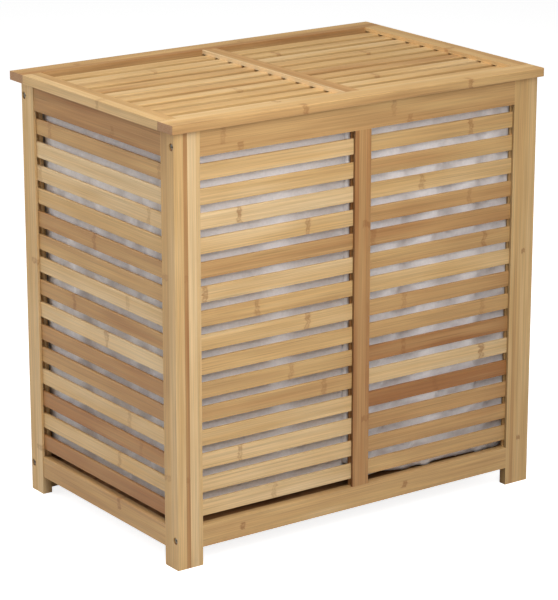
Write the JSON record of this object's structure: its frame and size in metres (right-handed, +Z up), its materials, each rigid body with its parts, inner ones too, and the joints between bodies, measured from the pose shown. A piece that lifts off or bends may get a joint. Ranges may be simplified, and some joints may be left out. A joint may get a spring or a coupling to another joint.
{
  "type": "laundry hamper with lid",
  "caption": "Free-standing bamboo laundry hamper with slatted sides, hanging fabric liner bags and a slatted lid that hinges open at the back.",
  "frame": {"origin": "bottom centre of the closed hamper's box, on the floor between the feet", "axes": "+X to the right along the wide front, +Y from the front to the hinged back, +Z up"},
  "size_m": [0.6, 0.4, 0.5935],
  "materials": {
    "bamboo_frame": "satin clear lacquer over pale bamboo strips",
    "bamboo_rail": "satin clear lacquer over warm bamboo strips",
    "bamboo_slat": "satin clear lacquer, colour differs from slat to slat",
    "bamboo_lid": "satin clear lacquer over straw-coloured bamboo",
    "base_plywood": "thin bare plywood",
    "dowel_beech": "bare fluted dowel",
    "liner_cloth": "thin off-white woven cloth",
    "hook_tape": "white hook-and-loop tape",
    "plated_steel": "zinc plated",
    "hinge_steel": "nickel plated",
    "insert_brass": "plain brass",
    "bumper_rubber": "soft translucent pad"
  },
  "bodies": {
    "body": {"left_front_leg": "bamboo_frame", "left_back_leg": "bamboo_frame", "left_top_rail": "bamboo_rail", "left_bottom_rail": "bamboo_rail", "left_slats": "bamboo_slat", "right_front_leg": "bamboo_frame", "right_back_leg": "bamboo_frame", "right_top_rail": "bamboo_rail", "right_bottom_rail": "bamboo_rail", "right_slats": "bamboo_slat", "front_left_stile": "bamboo_frame", "front_centre_stile": "bamboo_rail", "front_right_stile": "bamboo_frame", "front_top_rail": "bamboo_rail", "front_bottom_rail": "bamboo_rail", "front_left_slats": "bamboo_slat", "front_right_slats": "bamboo_slat", "back_left_stile": "bamboo_frame", "back_centre_stile": "bamboo_rail", "back_right_stile": "bamboo_frame", "back_top_rail": "bamboo_rail", "back_bottom_rail": "bamboo_rail", "back_left_slats": "bamboo_slat", "back_right_slats": "bamboo_slat", "centre_crossbar": "bamboo_rail", "base_board": "base_plywood", "front_base_batten": "bamboo_rail", "back_base_batten": "bamboo_rail", "left_liner_bag": "liner_cloth", "right_liner_bag": "liner_cloth", "hook_tapes": "hook_tape", "frame_bolts": "plated_steel", "threaded_inserts": "insert_brass", "locating_dowels": "dowel_beech", "batten_screws": "plated_steel", "hinge_body_leaves": "hinge_steel", "hinge_pins": "hinge_steel", "hinge_body_screws": "plated_steel"},
    "lid": {"lid_front_rail": "bamboo_lid", "lid_back_rail": "bamboo_lid", "lid_left_rail": "bamboo_lid", "lid_centre_rail": "bamboo_lid", "lid_right_rail": "bamboo_lid", "lid_left_slats": "bamboo_lid", "lid_right_slats": "bamboo_lid", "lid_bumpers": "bumper_rubber", "hinge_lid_leaves": "hinge_steel", "hinge_lid_screws": "plated_steel"}
  },
  "joints": [
    {"name": "lid_hinge", "type": "hinge", "parent": "body", "child": "lid", "pos_m": [0, 0.183, 0.5785], "axis": [-1, 0, 0], "range_deg": [0, 100]}
  ]
}
